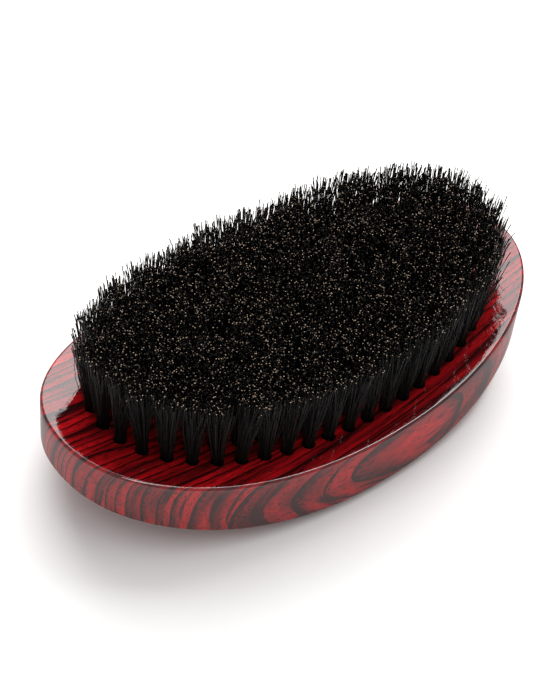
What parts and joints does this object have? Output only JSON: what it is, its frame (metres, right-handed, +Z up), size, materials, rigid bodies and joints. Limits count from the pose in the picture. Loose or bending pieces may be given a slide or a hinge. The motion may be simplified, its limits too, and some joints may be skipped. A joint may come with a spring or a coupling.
{
  "type": "oval palm beard brush",
  "caption": "Oval palm brush for beards: curved lacquered hardwood block, concave face set with tufts of black boar bristle, and no handle.",
  "frame": {"origin": "middle of the flat land on the palm side, on the surface that the brush rests on", "axes": "+X along the block's length, +Y across its width, +Z up from the palm side to the bristle tips"},
  "size_m": [0.125, 0.067, 0.0399],
  "materials": {
    "lacquered_wood": "zebra-grained hardwood dyed red and black-brown under a high-gloss clear lacquer",
    "boar_bristle": "dyed black boar bristle, satin sides, pale cut tips"
  },
  "bodies": {
    "root": {"block": "lacquered_wood", "edge_tuft_01": "boar_bristle", "edge_tuft_02": "boar_bristle", "edge_tuft_03": "boar_bristle", "edge_tuft_04": "boar_bristle", "edge_tuft_05": "boar_bristle", "edge_tuft_06": "boar_bristle", "edge_tuft_07": "boar_bristle", "edge_tuft_08": "boar_bristle", "edge_tuft_09": "boar_bristle", "edge_tuft_10": "boar_bristle", "edge_tuft_11": "boar_bristle", "edge_tuft_12": "boar_bristle", "edge_tuft_13": "boar_bristle", "edge_tuft_14": "boar_bristle", "edge_tuft_15": "boar_bristle", "edge_tuft_16": "boar_bristle", "edge_tuft_17": "boar_bristle", "edge_tuft_18": "boar_bristle", "edge_tuft_19": "boar_bristle", "edge_tuft_20": "boar_bristle", "edge_tuft_21": "boar_bristle", "edge_tuft_22": "boar_bristle", "edge_tuft_23": "boar_bristle", "edge_tuft_24": "boar_bristle", "edge_tuft_25": "boar_bristle", "edge_tuft_26": "boar_bristle", "edge_tuft_27": "boar_bristle", "edge_tuft_28": "boar_bristle", "edge_tuft_29": "boar_bristle", "edge_tuft_30": "boar_bristle", "edge_tuft_31": "boar_bristle", "edge_tuft_32": "boar_bristle", "edge_tuft_33": "boar_bristle", "edge_tuft_34": "boar_bristle", "edge_tuft_35": "boar_bristle", "edge_tuft_36": "boar_bristle", "edge_tuft_37": "boar_bristle", "edge_tuft_38": "boar_bristle", "edge_tuft_39": "boar_bristle", "edge_tuft_40": "boar_bristle", "edge_tuft_41": "boar_bristle", "edge_tuft_42": "boar_bristle", "edge_tuft_43": "boar_bristle", "edge_tuft_44": "boar_bristle", "edge_tuft_45": "boar_bristle", "edge_tuft_46": "boar_bristle", "edge_tuft_47": "boar_bristle", "edge_tuft_48": "boar_bristle", "tuft_ring_2": "boar_bristle", "tuft_ring_3": "boar_bristle", "tuft_ring_4": "boar_bristle", "tuft_ring_5": "boar_bristle", "tuft_row_middle": "boar_bristle"}
  },
  "joints": []
}
